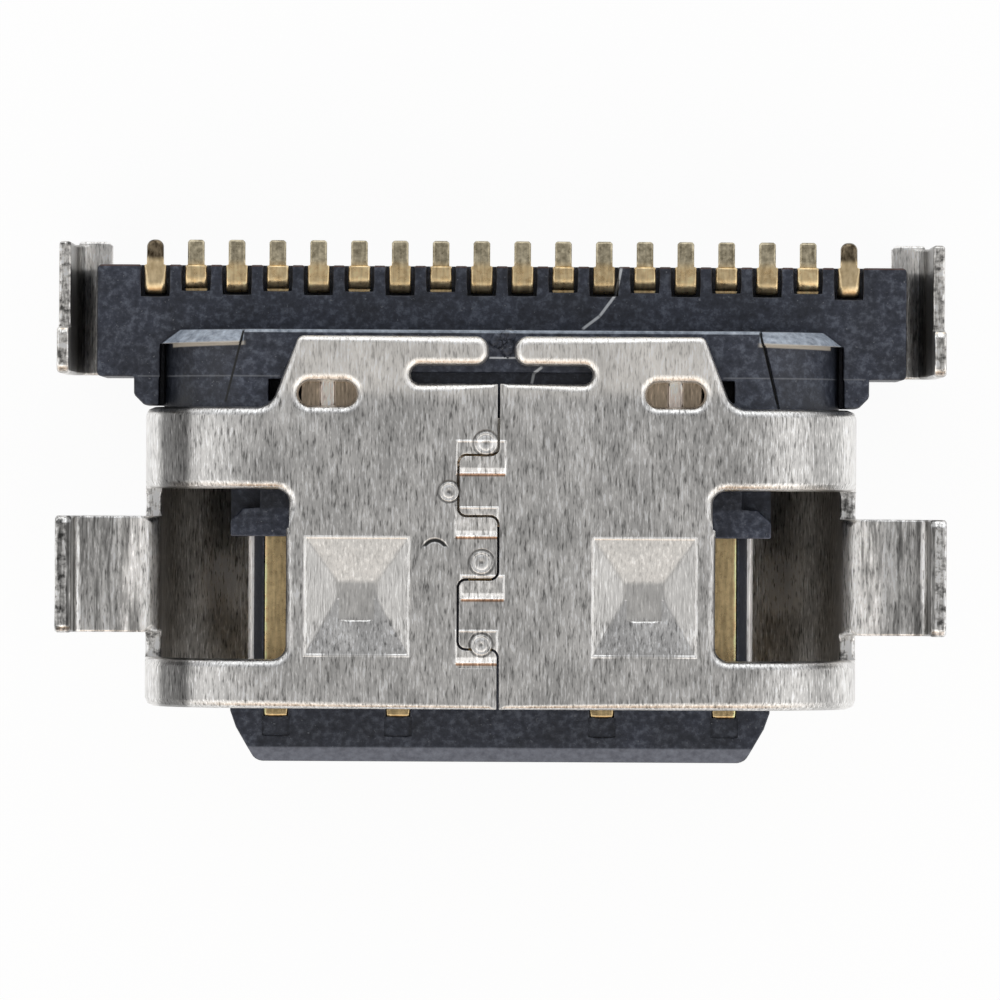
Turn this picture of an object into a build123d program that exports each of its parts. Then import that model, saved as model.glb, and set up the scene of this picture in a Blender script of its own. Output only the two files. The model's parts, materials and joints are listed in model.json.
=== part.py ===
from build123d import *
import os

# A sunk charging port connector, lying on its outer face with its solder legs pointing up.
# Lengths are in millimetres. X runs across the connector, Y from the plug mouth to the solder
# tails, and Z up, from the face it lies on to the board side. Y is 0 at the mouth edge of the
# shell while the pieces are made, and the finished pieces are centred on Y as they are saved.

# Shell: stainless sheet folded to an oval tube and closed by an interlocked seam
shell_sheet = 0.20
opening_width = 8.34
opening_height = 2.56
shell_side_length = 3.67

# Flap that carries the board side of the shell on behind its side walls
flap_length = 0.87
flap_root_half = 2.81
flap_end_half = 2.47
flap_root_round = 0.25
flap_end_round = 0.10

# T-shaped slot in the flap
cross_slot_length = 2.21
cross_slot_width = 0.22
horn_depth = 0.36
throat_width = 0.31
horn_round = 0.165

# Oval holes over the ribs of the ground plate
oval_length = 0.70
oval_width = 0.29
oval_half_spacing = 2.12
oval_behind_sides = 0.165

# Side windows, with a small jog in their inner edge
window_front = 0.60
window_length = 2.07
window_inner_half = 2.61
window_jog = 0.035
window_jog_length = 0.47
window_corner_round = 0.17

# Plug-holding dimples pressed into the board side and the outer side
dimple_half_spacing = 1.75
dimple_width = 1.28
dimple_front = 0.645
dimple_length = 1.455
dimple_depth = 0.13
pad_width = 0.49
pad_length = 0.21
pad_front = 1.335
punch_width = 0.42
punch_length = 0.43
punch_front = 1.085

# Interlocked seam: two keys, cut as a fine slit with rounded corners
seam_gap = 0.03
seam_right = -0.03
seam_left = -0.52
seam_round = 0.10
seam_steps = (0.73, 1.58, 2.35, 3.095)

# Coined fields across the seam, each pressed deepest at its front edge
coin_depth = 0.03
coin_width = 0.52
coin_length = 0.36
coin_from_step = 0.23

# Peened dots beside the seam: place across, place from the mouth and radius
dot_depth = 0.012
seam_dots = ((-0.234, 0.804, 0.146), (-0.228, 1.797, 0.158), (-0.629, 2.646, 0.14), (-0.189, 3.232, 0.164))

# Solder tabs: bent out of the side walls, with legs that go up through the board
tab_width = 1.425
tab_from_mouth = 1.62
tab_bend_inside = 0.10
tab_leg_half_span = 5.43
tab_leg_above_seat = 0.75
leg_end_chamfer = 0.07

# Board seat, measured up from the middle plane of the plug opening
seat_above_middle = 0.55

# Rear cover: thinner sheet on the outer side, welded under the shell
cover_sheet = 0.15
cover_bend_inside = 0.25
cover_leg_half_span = 5.43
cover_leg_width = 1.62
cover_pin_width = 0.57
cover_pin_above_seat = 0.50
cover_wall_below_seat = 0.05
cover_ear_inset = 0.16
cover_ear_width = 0.42
cover_ear_overhang = 0.045
cover_ear_round = 0.09
cover_inset = 0.035
apron_half = 2.75
apron_front = 2.35
apron_nose_half = 0.85
apron_nose_front = 1.0
apron_round = 0.25

# Rear housing: moulded block, body that plugs the shell, and lugs behind the shell edge
block_from_legs = 0.32
block_front = 4.04
block_depth = 1.375
block_below_seat = 0.05
block_corner_round = 0.06
cover_clearance = 0.02
shell_clearance = 0.02
body_front = 3.10
body_rear = 4.62
lug_inner_half = 4.05
lug_top_inner_half = 4.20
lug_outer_half = 4.505
lug_reach = 0.35
lug_height = 1.10
lug_chamfer = 0.13
relief_half = 4.19

# Flared collar where the body leaves the block
collar_length = 0.175
collar_inner_half = 3.17
collar_rear_radius = 1.17
collar_front_radius = 1.383
groove_rear_half = 3.16
groove_front_half = 3.38
groove_width = 0.03
groove_depth = 0.16

# Pockets beside the flap
pocket_inner_half = 2.45
pocket_outer_half = 2.84
pocket_front = 3.74
pocket_rear = 4.01
pocket_depth = 0.9

# Tongue
tongue_width = 6.62
tongue_thickness = 0.70
tongue_reach = 0.67
tongue_bevel = 0.17
tongue_bevel_depth = 0.14
tongue_tip_half = 2.94
tongue_corner = ((3.02, 0.04), (3.24, 0.42), (3.31, 0.62))
mark_width = 0.34
mark_length = 0.24
mark_depth = 0.03
notch_front = 0.35
notch_lead = 0.12
notch_below_plate = 0.07
notch_bevel = 0.11
notch_bevel_depth = 0.25
root_front = 2.09
root_thickness = 1.24
root_half = 3.31
root_step_length = 0.35
root_step_chamfer = 0.16
root_core_half = 2.95

# Middle plate
plate_thickness = 0.15
plate_half = 3.10
plate_front = -0.30
plate_rear = 4.95
plate_wing_half = 4.38
plate_wing_front = 4.50
plate_hole_length = 0.90
plate_hole_width = 0.40
plate_hole_half_spacing = 1.60
plate_hole_from_mouth = 1.30

# Ground plates on the root of the tongue
ground_sheet = 0.10
ground_half = 2.45
ground_front = 2.22
ground_rear = 4.10
ground_bend_inside = 0.06
ground_drop = 0.04
ground_ear_inner_half = 1.45
ground_ear_front = 3.55
rib_width = 0.18
rib_length = 0.34

# Contacts and their solder tails
tail_pitch = 0.50
tail_count = 18
contact_thickness = 0.15
contact_width = 0.30
contact_long_front = -0.115
contact_short_front = 0.30
contact_posts = (-2.75, -1.25, -0.75, -0.25, 0.25, 0.75, 1.25, 2.75)
contact_long = (-2.75, -1.25, 1.25, 2.75)
jog_front = 3.45
jog_rear = 4.55
tail_width = 0.265
tail_end_width = 0.205
tail_end = 5.72
board_tail_front = 5.125
far_tail_front = 5.08
end_tail_front = 5.055
end_tail_round = 0.09
tail_bend_round = 0.15
tail_notch_gap = 0.0425
tail_notch_depth = 0.32
tail_front_gap = 0.03
tail_step = 0.03
tail_overlap = 0.20

# First-shot insulators inside the housing
insulator_half = 3.92
insulator_front = 3.30
insulator_rear = 4.85
insulator_cover = 0.08

# Sizes that follow
shell_height = opening_height + 2 * shell_sheet
shell_bottom = cover_sheet
shell_top = shell_bottom + shell_height
middle = shell_bottom + shell_height / 2
seat = middle + seat_above_middle
block_half = cover_leg_half_span - cover_sheet - block_from_legs
block_top = seat - block_below_seat
block_bottom = cover_sheet + cover_clearance
block_rear = block_front + block_depth
flap_end = shell_side_length + flap_length
slot_rear = flap_end - horn_depth
slot_front = slot_rear - cross_slot_width
cover_front = block_front + cover_inset
cover_leg_rear = cover_front + cover_leg_width
cover_ear_outer_half = cover_leg_half_span - cover_ear_inset
cover_ear_inner_half = cover_ear_outer_half - cover_ear_width
cover_ear_rear = cover_leg_rear + cover_ear_overhang
notch_plastic_half = plate_half - notch_below_plate
beyond = opening_width
centre_shift = (cover_ear_rear - tongue_reach) / 2


def prism_y(sketch, front, rear):
    """Solid with its section drawn across, X to the right and Z up, from front to rear"""
    return extrude(Plane.XZ.offset(-front) * sketch, amount=front - rear)


def prism_z(sketch, low, high):
    """Solid with its outline drawn in plan"""
    return extrude(Plane.XY.offset(low) * sketch, amount=high - low)


def prism_x(sketch, left, right):
    """Solid with its section drawn from the side, Y to the right and Z up"""
    return extrude(Plane.YZ.offset(left) * sketch, amount=right - left)


def rectangle(x0, x1, y0, y1):
    return Pos((x0 + x1) / 2, (y0 + y1) / 2) * Rectangle(x1 - x0, y1 - y0)


def block(x0, x1, y0, y1, z0, z1):
    return prism_z(rectangle(x0, x1, y0, y1), z0, z1)


def outline(*points):
    return make_face(Polyline(*points, close=True))


def strip(points, bend_inside, thickness):
    """Section of a bent strip whose middle line runs through the points"""
    return trace(FilletPolyline(*points, radius=bend_inside + thickness / 2), thickness)


def both_sides(shape):
    return shape + mirror(shape, about=Plane.YZ)


def at_corners(sketch, x, y):
    """Corners of a sketch at plus and minus x, at height y"""
    near = 1e-4
    return [v for v in sketch.vertices() if abs(abs(v.X) - x) < near and abs(v.Y - y) < near]


def save(shape, node):
    export_step(Pos(0, -centre_shift, 0) * shape, f"parts/{node}.step")


def flap_plan():
    """Outline of the board side of the shell in plan, without its holes"""
    sides = rectangle(-beyond, beyond, 0, shell_side_length)
    flap = outline(
        (-flap_root_half, shell_side_length),
        (-flap_end_half, flap_end),
        (flap_end_half, flap_end),
        (flap_root_half, shell_side_length),
    )
    plan = sides + flap
    plan = fillet(at_corners(plan, flap_root_half, shell_side_length), flap_root_round)
    return fillet(at_corners(plan, flap_end_half, flap_end), flap_end_round)


def cross_slot(plan):
    """The T-shaped slot, with round ends on the two horns beside its throat"""
    slot = Pos(0, (slot_front + slot_rear) / 2) * SlotOverall(cross_slot_length, cross_slot_width)
    throat = rectangle(-throat_width / 2, throat_width / 2, slot_front + cross_slot_width / 2, beyond)
    plan = plan - slot - throat
    for y in (slot_rear, flap_end):
        plan = fillet(at_corners(plan, throat_width / 2, y), horn_round)
    return plan


def side_window():
    """Right-hand window in plan, open to the side"""
    rear = window_front + window_length
    rear_inner = window_inner_half - window_jog
    jog = rear - window_jog_length
    window = outline(
        (window_inner_half, window_front),
        (beyond, window_front),
        (beyond, rear),
        (rear_inner, rear),
        (rear_inner, jog),
        (window_inner_half, jog),
    )
    window = fillet(at_corners(window, window_inner_half, window_front), window_corner_round)
    return fillet(at_corners(window, rear_inner, rear), window_corner_round)


def seam_slit():
    """Path of the interlocked seam from the mouth to the T-shaped slot"""
    points = [(seam_right, -shell_sheet)]
    x, other = seam_right, seam_left
    for y in seam_steps:
        points += [(x, y), (other, y)]
        x, other = other, x
    points.append((seam_right, slot_front + cross_slot_width / 2))
    return trace(FilletPolyline(*points, radius=seam_round), seam_gap)


def dimple():
    """Pressed form of a dimple: steep slope at the rear, small pad, long slope in front, punched flat mark"""
    footprint = rectangle(
        dimple_half_spacing - dimple_width / 2,
        dimple_half_spacing + dimple_width / 2,
        dimple_front,
        dimple_front + dimple_length,
    )
    pad = rectangle(
        dimple_half_spacing - pad_width / 2,
        dimple_half_spacing + pad_width / 2,
        pad_front,
        pad_front + pad_length,
    )
    top = Plane.XY.offset(shell_top) * footprint
    bottom = Plane.XY.offset(shell_top - dimple_depth) * pad
    punched = block(
        dimple_half_spacing - punch_width / 2,
        dimple_half_spacing + punch_width / 2,
        punch_front,
        punch_front + punch_length,
        shell_top - dimple_depth,
        shell_top,
    )
    return loft([top, bottom], ruled=True) + punched


def coined_field(step):
    """Wedge pressed into the face over one cross run of the seam"""
    front = step - coin_from_step
    wedge = outline((front, shell_top), (front + coin_length, shell_top), (front, shell_top - coin_depth))
    centre = (seam_left + seam_right) / 2
    return prism_x(wedge, centre - coin_width / 2, centre + coin_width / 2)


def peened_dot(x, y, radius):
    return Pos(x, y, shell_top) * Cylinder(radius, 2 * dot_depth)


def solder_tab():
    """Right-hand tab: up from the side wall, out over the board and up as a leg"""
    wall = opening_width / 2 + shell_sheet / 2
    flat = seat - shell_sheet / 2
    leg = tab_leg_half_span - shell_sheet / 2
    points = [(wall, middle), (wall, flat), (leg, flat), (leg, seat + tab_leg_above_seat)]
    section = strip(points, tab_bend_inside, shell_sheet)
    tab = prism_y(section, tab_from_mouth - tab_width / 2, tab_from_mouth + tab_width / 2)
    return chamfer(tab.edges().filter_by(Axis.X).group_by(Axis.Z)[-1], leg_end_chamfer)


def receptacle_shell():
    outer = SlotOverall(opening_width + 2 * shell_sheet, shell_height)
    inner = SlotOverall(opening_width, opening_height)
    shell = prism_y(Pos(0, middle) * (outer - inner), 0, flap_end)
    plan = cross_slot(flap_plan()) - both_sides(side_window())
    oval = Pos(oval_half_spacing, shell_side_length + oval_behind_sides)
    plan = plan - both_sides(oval * SlotOverall(oval_length, oval_width)) - seam_slit()
    around = rectangle(-beyond, beyond, -beyond, 2 * beyond) - plan
    shell = shell - prism_z(around, middle, shell_top + shell_sheet)
    shell = shell - block(-beyond, beyond, shell_side_length, 2 * beyond, -beyond, middle)
    board_press = both_sides(dimple())
    outer_press = mirror(board_press, about=Plane.XY.offset(middle))
    shell = shell + Pos(0, 0, -shell_sheet) * board_press + Pos(0, 0, shell_sheet) * outer_press
    shell = shell - board_press - outer_press
    for step in seam_steps:
        shell = shell - coined_field(step)
    for dot in seam_dots:
        shell = shell - peened_dot(*dot)
    return shell + both_sides(solder_tab())


def cover_plan():
    """Flat of the rear cover, between the bends of its legs"""
    leg = cover_leg_half_span - cover_sheet - cover_bend_inside
    rear_edge = block_rear - cover_inset
    plan = rectangle(-leg, leg, cover_front, rear_edge)
    ear = rectangle(cover_ear_inner_half, cover_ear_outer_half, cover_front, cover_ear_rear)
    ear = fillet(at_corners(ear, cover_ear_inner_half, cover_ear_rear), cover_ear_round)
    ear = fillet(at_corners(ear, cover_ear_outer_half, cover_ear_rear), cover_ear_round / 2)
    plan = plan + both_sides(ear)
    apron = rectangle(-apron_half, apron_half, apron_front, cover_front)
    apron = fillet(at_corners(apron, apron_half, apron_front), apron_round)
    nose = rectangle(-apron_nose_half, apron_nose_half, apron_nose_front, apron_front)
    nose = fillet(at_corners(nose, apron_nose_half, apron_nose_front), apron_round)
    plan = plan + apron + nose
    plan = fillet(at_corners(plan, apron_nose_half, apron_front), apron_round)
    return fillet(at_corners(plan, apron_half, cover_front), apron_round)


def cover_legs(front, rear, top):
    leg = cover_leg_half_span - cover_sheet / 2
    low = cover_sheet / 2
    points = [(cover_ear_inner_half, low), (leg, low), (leg, top)]
    section = strip(points, cover_bend_inside, cover_sheet)
    return both_sides(prism_y(section, front, rear))


def rear_cover():
    cover = prism_z(cover_plan(), 0, cover_sheet)
    wall_top = seat - cover_wall_below_seat
    pin_rear = cover_front + cover_pin_width
    cover = cover + cover_legs(cover_front, cover_leg_rear, wall_top)
    pins = cover_legs(cover_front, pin_rear, seat + cover_pin_above_seat)
    pins = chamfer(pins.edges().filter_by(Axis.X).group_by(Axis.Z)[-1], leg_end_chamfer)
    return cover + pins


def tongue_plan():
    """Right half of the tongue in plan: cut corners, latch notch and root"""
    half = tongue_width / 2
    corner = [(x, back - tongue_reach) for x, back in tongue_corner]
    return outline(
        (0, -tongue_reach),
        (tongue_tip_half, -tongue_reach),
        *corner,
        (half, notch_front),
        (notch_plastic_half, notch_front + notch_lead),
        (notch_plastic_half, root_front),
        (half, root_front),
        (half, body_front),
        (0, body_front),
    )


def tongue():
    """Tongue with a bevelled tip and notch edges, and a shallow mark before each long contact"""
    half_height = tongue_thickness / 2
    solid = both_sides(prism_z(tongue_plan(), middle - half_height, middle + half_height))
    tip = outline(
        (-tongue_reach, middle + half_height),
        (-tongue_reach + tongue_bevel, middle + half_height),
        (-tongue_reach, middle + half_height - tongue_bevel_depth),
    )
    edge = outline(
        (notch_plastic_half, middle + half_height),
        (notch_plastic_half - notch_bevel, middle + half_height),
        (notch_plastic_half, middle + half_height - notch_bevel_depth),
    )
    cuts = prism_x(tip, -tongue_width / 2, tongue_width / 2)
    cuts = cuts + both_sides(prism_y(edge, notch_front + notch_lead, root_front))
    for post in contact_long:
        left = post - mark_width / 2
        mark = rectangle(left, left + mark_width, contact_long_front - mark_length, contact_long_front)
        cuts = cuts + prism_z(mark, middle + half_height - mark_depth, middle + half_height)
    return solid - cuts - mirror(cuts, about=Plane.XY.offset(middle))


def tongue_root():
    """Thick root behind the contacts, wide in front and narrower where it meets the body"""
    rear = root_front + root_step_length
    step = rectangle(-root_half, root_half, root_front, rear)
    step = chamfer(at_corners(step, root_half, rear), root_step_chamfer)
    core = rectangle(-root_core_half, root_core_half, root_front, body_front)
    return prism_z(step + core, middle - root_thickness / 2, middle + root_thickness / 2)


def collar():
    """Right-hand flare of the body, standing out of the block"""
    cone = Cone(collar_rear_radius, collar_front_radius, collar_length)
    flat_half = (opening_width - opening_height) / 2
    axis = Pos(flat_half, body_rear - collar_length / 2, middle)
    flare = axis * Rot(90, 0, 0) * cone
    return flare & block(collar_inner_half, beyond, block_front, block_rear, middle, shell_top)


def body():
    """Oval body that plugs the rear of the shell"""
    width = opening_width - 2 * shell_clearance
    height = opening_height - 2 * shell_clearance
    section = Pos(0, middle) * SlotOverall(width, height)
    collar_front = body_rear - collar_length
    middle_part = section & (Pos(0, middle) * Rectangle(2 * collar_inner_half, shell_height))
    solid = prism_y(section, body_front, collar_front) + prism_y(middle_part, collar_front, body_rear)
    groove_line = Line((groove_rear_half, body_rear), (groove_front_half, shell_side_length))
    groove = both_sides(trace(groove_line, groove_width))
    top = middle + height / 2
    solid = solid - prism_z(groove, top - groove_depth, top + groove_depth)
    pocket = rectangle(pocket_inner_half, pocket_outer_half, pocket_front, pocket_rear)
    return solid - prism_z(both_sides(pocket), top - pocket_depth, top + pocket_depth)


def lug():
    """Right-hand lug behind the side wall of the shell, stepped down beside the body"""
    plan = rectangle(lug_inner_half, lug_outer_half, block_front - lug_reach, block_front)
    plan = chamfer(at_corners(plan, lug_outer_half, block_front - lug_reach), lug_chamfer)
    step = block(lug_inner_half, lug_top_inner_half, body_front, block_front, middle, block_top)
    return prism_z(plan, block_top - lug_height, block_top) - step


def housing_block():
    plan = rectangle(-block_half, block_half, block_front, block_rear)
    plan = fillet(plan.vertices(), block_corner_round)
    solid = prism_z(plan, block_bottom, block_top)
    collar_front = body_rear - collar_length
    relief = block(0, relief_half, body_front, collar_front, middle, shell_top)
    solid = solid - both_sides(relief)
    half = tail_width / 2 + tail_notch_gap
    for x, front in zip(tail_places(), tail_fronts()):
        notch = rectangle(x - half, x + half, front - tail_front_gap, tail_end)
        solid = solid - prism_z(notch, block_top - tail_notch_depth, shell_top)
    return solid


def tail_places():
    """X of the eighteen tails, end tails first and last"""
    middle_place = (tail_count - 1) / 2
    return [(i - middle_place) * tail_pitch for i in range(tail_count)]


def tail_fronts():
    """Front face of each tail in turn: board-side and far-side ones take turns from each end"""
    inner = [board_tail_front, far_tail_front] * (tail_count // 4)
    return [end_tail_front, *inner, *reversed(inner), end_tail_front]


def rear_housing(inserts):
    solid = housing_block() + body() + both_sides(collar()) + both_sides(lug())
    solid = solid + tongue_root() + tongue()
    for part in inserts:
        solid = solid - part
    return solid


def tail(x, run_low, front, step):
    """Solder tail: up from the run through its notch, then back to a narrower tip"""
    rear = front + contact_thickness
    low = seat - contact_thickness
    section = outline(
        (front - tail_overlap, run_low),
        (rear, run_low),
        (rear, low),
        (block_rear, low),
        (block_rear, seat),
        (front, seat),
        (front, run_low + contact_thickness),
        (front - tail_overlap, run_low + contact_thickness),
    )
    bends = [v for v in section.vertices() if v.Y in (run_low, seat) and v.X in (rear, front)]
    section = fillet(bends, tail_bend_round)
    root = prism_x(section, x - tail_width / 2, x + tail_width / 2)
    end = rectangle(x - tail_end_width / 2, x + tail_end_width / 2, block_rear, tail_end)
    if front == end_tail_front:
        end = fillet(end.vertices().group_by(Axis.Y)[-1], end_tail_round)
    return root + prism_z(end, low, seat - step)


def contact(post, tail_x, run_low, front, tail_front, step):
    """One contact: flat on the tongue, a sideways jog in the body, and its tail"""
    half = contact_width / 2
    tail_half = tail_width / 2
    end = tail_front - tail_overlap / 2
    plan = outline(
        (post - half, front),
        (post - half, jog_front),
        (tail_x - tail_half, jog_rear),
        (tail_x - tail_half, end),
        (tail_x + tail_half, end),
        (tail_x + tail_half, jog_rear),
        (post + half, jog_front),
        (post + half, front),
    )
    flat = prism_z(plan, run_low, run_low + contact_thickness)
    return flat + tail(tail_x, run_low, tail_front, step)


def contact_row(run_low, tails, tail_front, step):
    """Contacts of one face of the tongue, from left to right, each with its tail's place"""
    row = []
    for post, tail_x in zip(contact_posts, tails):
        front = contact_long_front if post in contact_long else contact_short_front
        row.append(contact(post, tail_x, run_low, front, tail_front, step))
    return row


def mid_plate():
    """Plate between the contact rows, with holes for the moulding and a tail at each end"""
    plan = rectangle(-plate_half, plate_half, plate_front, plate_rear)
    plan = plan + rectangle(-plate_wing_half, plate_wing_half, plate_wing_front, plate_rear)
    hole = Pos(plate_hole_half_spacing, plate_hole_from_mouth) * SlotOverall(
        plate_hole_length, plate_hole_width
    )
    plan = plan - both_sides(hole)
    low = middle - plate_thickness / 2
    plate = prism_z(plan, low, low + plate_thickness)
    end_tail = tail(tail_places()[-1], low, end_tail_front, 0)
    return plate + both_sides(end_tail)


def ground_plate():
    """Board-side ground plate: flat on the root, up the front of the body and back over it"""
    low = middle + root_thickness / 2 + ground_sheet / 2
    high = middle + opening_height / 2 - shell_clearance - ground_drop - ground_sheet / 2
    front = body_front - ground_sheet / 2
    path = [(ground_front, low), (front, low), (front, high), (ground_rear, high)]
    plate = prism_x(strip(path, ground_bend_inside, ground_sheet), -ground_half, ground_half)
    inner = ground_ear_inner_half
    plate = plate - block(-inner, inner, ground_ear_front, beyond, middle, shell_top)
    rib = rectangle(-rib_width / 2, rib_width / 2, -rib_length / 2, rib_length / 2)
    place = Pos(oval_half_spacing, shell_side_length + oval_behind_sides)
    top = high + ground_sheet / 2
    return plate + both_sides(prism_z(place * rib, top, top + ground_drop))


def ground_seat():
    """Room in the body for the board-side ground plate"""
    deep = shell_clearance + ground_drop + ground_sheet
    top = middle + opening_height / 2
    return block(-ground_half, ground_half, body_front, ground_rear, top - deep, top)


def insulator(side):
    """First-shot moulding round one row of contact runs"""
    plan = rectangle(-insulator_half, insulator_half, insulator_front, insulator_rear)
    low = middle + plate_thickness / 2
    solid = prism_z(plan, low, block_top - insulator_cover)
    if side < 0:
        solid = mirror(solid, about=Plane.XY.offset(middle))
    return solid


os.makedirs("parts", exist_ok=True)
left_tails = tail_places()[1 : tail_count // 2]
right_tails = [-x for x in reversed(left_tails)]
board_tails = left_tails[0::2] + right_tails[1::2]
far_tails = left_tails[1::2] + right_tails[0::2]
board_run = middle + tongue_thickness / 2 - contact_thickness
far_run = middle - tongue_thickness / 2
board_row = contact_row(board_run, board_tails, board_tail_front, tail_step)
far_row = contact_row(far_run, far_tails, far_tail_front, 0)
plate = mid_plate()
board_insulator = insulator(1)
far_insulator = insulator(-1)
for piece in board_row:
    board_insulator = board_insulator - piece
for piece in far_row:
    far_insulator = far_insulator - piece
board_ground = ground_plate()
far_ground = mirror(board_ground, about=Plane.XY.offset(middle))
board_seat = ground_seat() + board_ground
far_seat = mirror(board_seat, about=Plane.XY.offset(middle))
moulded_in = board_row + far_row + [plate, board_insulator, far_insulator, board_seat, far_seat]

save(receptacle_shell(), "receptacle_shell")
save(rear_cover(), "rear_cover")
save(rear_housing(moulded_in), "rear_housing")
save(board_insulator, "board_side_insulator")
save(far_insulator, "far_side_insulator")
save(plate, "mid_plate")
save(board_ground, "board_side_ground_plate")
save(far_ground, "far_side_ground_plate")
for number, (board_piece, far_piece) in enumerate(zip(board_row, far_row), start=1):
    save(board_piece, f"board_side_contact_{number}")
    save(far_piece, f"far_side_contact_{number}")
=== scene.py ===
import json
import math

import bmesh
import bpy
import numpy as np
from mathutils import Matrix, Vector


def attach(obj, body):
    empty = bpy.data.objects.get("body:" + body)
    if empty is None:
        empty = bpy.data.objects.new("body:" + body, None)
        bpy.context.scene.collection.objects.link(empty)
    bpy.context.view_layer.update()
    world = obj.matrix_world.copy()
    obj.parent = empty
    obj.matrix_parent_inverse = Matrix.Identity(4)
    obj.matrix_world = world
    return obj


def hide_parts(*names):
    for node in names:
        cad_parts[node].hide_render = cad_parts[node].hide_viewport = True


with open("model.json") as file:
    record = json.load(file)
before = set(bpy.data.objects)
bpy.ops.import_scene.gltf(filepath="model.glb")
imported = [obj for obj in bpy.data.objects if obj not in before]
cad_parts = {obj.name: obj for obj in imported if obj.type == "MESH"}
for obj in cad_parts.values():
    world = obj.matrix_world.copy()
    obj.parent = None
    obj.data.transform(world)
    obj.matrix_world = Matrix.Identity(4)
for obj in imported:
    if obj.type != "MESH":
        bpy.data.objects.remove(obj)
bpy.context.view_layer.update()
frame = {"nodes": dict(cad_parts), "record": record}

# Lengths are in metres, in the frame of the connector: X across, Y from the plug mouth to the
# solder tails, Z up to the board side. It lies on the floor at z = 0.
MM = 0.001
ROOT = "root"

# View and floor
IMAGE = 1000
PIXELS_PER_MM = 81.5
FOCUS_HEIGHT = 1.98 * MM
CAMERA_DISTANCE = 120 * MM
VIEW_CENTRE = (-0.012 * MM, 0.014 * MM)
VIEW_TURN = math.radians(0.3)
SENSOR = 36
CLIP = (0.001, 10)
FLOOR_HALF = 2.0
FLOOR_GLOW = 0.94

# Sizes of the rolled edges, and where the shell has which
SHELL_ROLL = 0.11 * MM
SHELL_INNER_ROLL = 0.04 * MM
SEAM_ROLL = 0.008 * MM
DIMPLE_ROLL = 0.03 * MM
TAB_ROLL = 0.03 * MM
COVER_ROLL = 0.035 * MM
PLASTIC_ROLL = 0.02 * MM
PLATE_ROLL = 0.022 * MM
PLATE_EDGE_ROLL = 0.063 * MM
CONTACT_ROLL = 0.03 * MM
BOARD_FACE = 2.9 * MM
SEAM_AT = -0.03 * MM
SEAM_STRIP = 0.04 * MM
SEAM_FIELD = ((-0.84 * MM, 0.12 * MM), (-2.5 * MM, 1.40 * MM))
DIMPLE_MIDDLE = 1.75 * MM
DIMPLE_REACH = 0.68 * MM
DIMPLE_ROWS = (-1.95 * MM, -0.38 * MM)
TAB_START = 4.38 * MM
# Centre of the shell's round side, and how far from it the middle of the sheet lies
SIDE_CENTRE = (2.89 * MM, 1.63 * MM)
MID_SHEET = 1.38 * MM
PLATE_EDGE_START = 2.9 * MM
# Edges that turn by more than these are rolled
SHELL_ANGLE = math.radians(30)
PRESSED_ANGLE = math.radians(9)
PLAIN_ANGLE = math.radians(25)

# How edges are rolled
JOIN_DISTANCE = 0.0002 * MM
FLAT_ANGLE = math.radians(0.5)
# A long edge gets a point this far from each end
END_LENGTH = 0.09 * MM
# A corner counts as on a line where the area between them is smaller than this
SLIVER = 0.000002 * MM**2
# A roll widens along its edge by no more than this
WIDTH_SLOPE = 0.6
ACUTE = math.radians(65)
INNER_CORNER = math.radians(35)
LEAST_OPENING = 0.6
# Where three or more surfaces meet, the corner sinks deeper than an edge by this factor
POINT_DEPTH = 1.75
# A roll is narrowed in rounds where it would turn a face round or leave an edge a smaller share than this
SHORTEST_SHARE = 0.15
NARROWING = 0.7
NARROWING_ROUNDS = 16
ROUND_STEPS = 40

# Millimetres from here on. A zone spans a box across, along and up, on both sides where it is
# mirrored, and FAR is past every piece.
FAR = 9
ON_BOARD_FACE = (2.9, FAR)

# Marks on the shell
DIMPLE = ((1.12, 2.38), (-1.885, -0.445))
DIMPLE_BORDER_WIDTH = 0.03
DIMPLE_BORDER_GAP = dict(x=(1.36, 2.14), y=(-1.93, -1.84), z=ON_BOARD_FACE, mirrored=True, soft=0.05)
DIMPLE_PRESSED = dict(x=DIMPLE[0], y=(-1.45, -0.445), z=ON_BOARD_FACE, mirrored=True, soft=0.06)
# Spans across and along of the fields coined over the seam
COINED = (
    ((-0.54, 0.05), (0.335, 0.73)),
    ((-0.55, -0.04), (-0.43, -0.08)),
    ((-0.48, 0.04), (-1.19, -0.91)),
    ((-0.54, -0.04), (-1.97, -1.58)),
)
# Widths of the painted highlight at a coined field's front edge and of the painted shade before it
COINED_HIGHLIGHT_WIDTH = 0.07
COINED_SHADE_WIDTH = 0.035
# Place and radius of each dot, and its profile: depth below the top at distances from the middle, in
# millimetres for the punch mark and as shares of the radius for the rings
PEENED = ((-0.187, 0.704, 0.150), (-0.632, 0.112, 0.130), (-0.233, -0.747, 0.150), (-0.233, -1.750, 0.138))
DOT_TOP = 3.1095
DOT_FLOOR = 3.090
DOT_PUNCH = ((0.010, 0.010), (0.022, 0.008), (0.034, 0.001))
DOT_RINGS = ((0.55, 0.002), (0.62, 0.008), (0.70, 0.008), (0.78, 0.001), (0.88, 0.001))
DOT_FOOT = 0.95
# Where the painted shade and painted highlight rings round a dot lie, as shares of its radius, and half
# their widths
DOT_GROOVE_AT = 1.04
DOT_HIGHLIGHT_AT = 0.52
DOT_GROOVE_WIDTH = 0.020
DOT_MARK_WIDTH = 0.045
SCRATCH_CENTRE = (-0.80, -0.623)
SCRATCH_RADIUS = 0.143
SCRATCH_WIDTH = 0.04
SCRATCH_PART = dict(y=(-0.56, 0), z=(3, FAR))
FLAP = dict(y=(1.30, FAR), z=(3.0, FAR), soft=0.12)
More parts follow.
